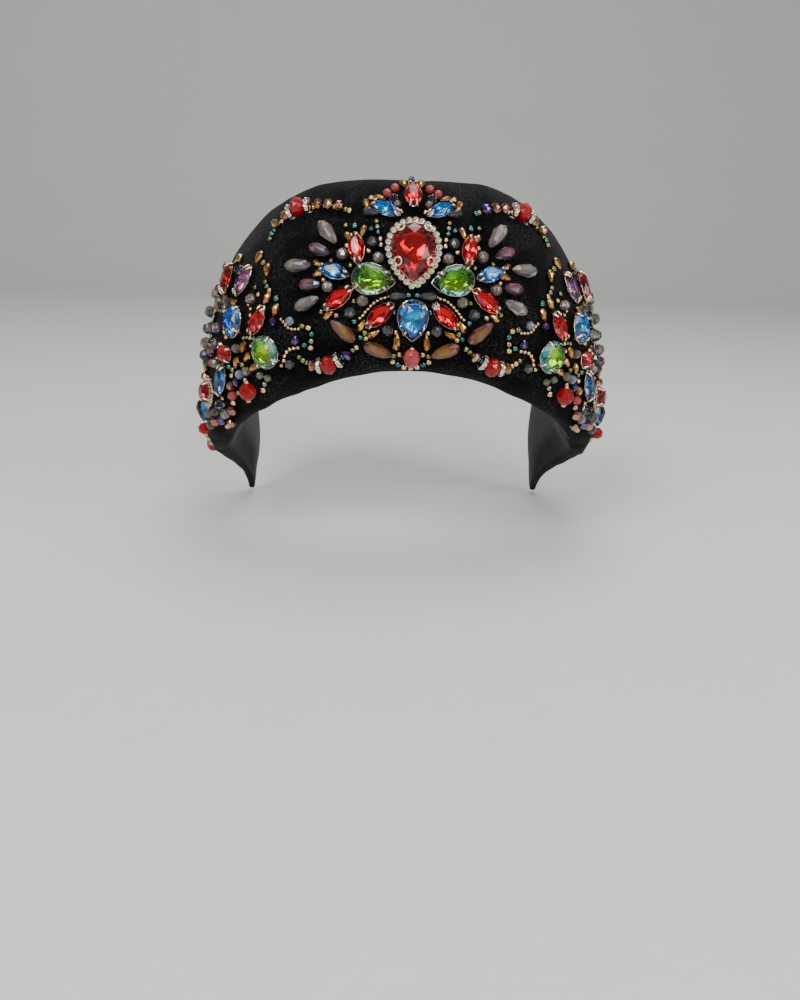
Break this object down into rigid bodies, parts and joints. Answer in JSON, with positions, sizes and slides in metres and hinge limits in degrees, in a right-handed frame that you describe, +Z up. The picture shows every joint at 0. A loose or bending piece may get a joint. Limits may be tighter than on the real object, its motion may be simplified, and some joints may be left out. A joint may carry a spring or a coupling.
{
  "type": "kokoshnik headdress",
  "caption": "Padded black velvet kokoshnik band, open at the back, tapering to a point behind each ear and sewn with cut glass stones, crystal drops and bead strings.",
  "frame": {"origin": "midway between the two tapered ends, on the line that joins them, about at the level of the ears", "axes": "+X to the right of someone looking at the front, -Y to the front, +Z up"},
  "size_m": [0.1916, 0.1354, 0.1611],
  "materials": {
    "velvet": "crushed black velvet pile over padding",
    "glass_red": "faceted siam red glass with a foiled back in a metal cup",
    "glass_green": "faceted green glass with a yellow heart and a blue edge, in a metal cup",
    "glass_blue": "faceted bermuda blue glass with a violet edge, in a metal cup",
    "glass_teal": "faceted teal glass in a metal cup",
    "glass_lilac": "faceted pale lilac glass with a rainbow coat",
    "crystal_grey": "faceted smoky clear crystal",
    "crystal_mauve": "faceted mauve crystal",
    "crystal_amber": "faceted brown and gold crystal",
    "coral": "faceted coral red bead",
    "beads": "faceted beads with a metallic rainbow coat, coral rondelles and gold spacers on a thread",
    "gold": "light gold plate: stone cups, claws, seed beads and spacers"
  },
  "bodies": {
    "root": {"velvet_band": "velvet", "navette_top": "glass_red", "pear_centre": "glass_red", "pear_blue": "glass_blue", "bead_brow": "coral", "navette_blue_top_r": "glass_blue", "pear_green_r": "glass_green", "navette_red_upper_r": "glass_red", "navette_blue_side_r": "glass_blue", "navette_red_mid_r": "glass_red", "navette_red_lower_r": "glass_red", "side_navette_red_r": "glass_red", "side_navette_lilac_r": "glass_lilac", "side_oval_blue_r": "glass_blue", "side_navette_inner_r": "glass_red", "side_oval_green_r": "glass_green", "side_oval_red_r": "glass_red", "side_navette_teal_r": "glass_teal", "side_halo_red_r": "glass_red", "drop_upper_r": "crystal_grey", "drop_wine_r": "crystal_mauve", "drop_outer_r": "crystal_grey", "drop_mid_r": "crystal_mauve", "drop_champagne_r": "crystal_grey", "drop_lower_r": "crystal_amber", "drop_brow_r": "crystal_amber", "side_bead_red_r": "coral", "string_upper_r": "beads", "string_lower_r": "beads", "string_end_r": "beads", "navette_blue_top_l": "glass_blue", "pear_green_l": "glass_green", "navette_red_upper_l": "glass_red", "navette_blue_side_l": "glass_blue", "navette_red_mid_l": "glass_red", "navette_red_lower_l": "glass_red", "side_navette_red_l": "glass_red", "side_navette_lilac_l": "glass_lilac", "side_oval_blue_l": "glass_blue", "side_navette_inner_l": "glass_red", "side_oval_green_l": "glass_green", "side_oval_red_l": "glass_red", "side_navette_teal_l": "glass_teal", "side_halo_red_l": "glass_red", "drop_upper_l": "crystal_grey", "drop_wine_l": "crystal_mauve", "drop_outer_l": "crystal_grey", "drop_mid_l": "crystal_mauve", "drop_champagne_l": "crystal_grey", "drop_lower_l": "crystal_amber", "drop_brow_l": "crystal_amber", "side_bead_red_l": "coral", "string_upper_l": "beads", "string_lower_l": "beads", "string_end_l": "beads"}
  },
  "joints": []
}
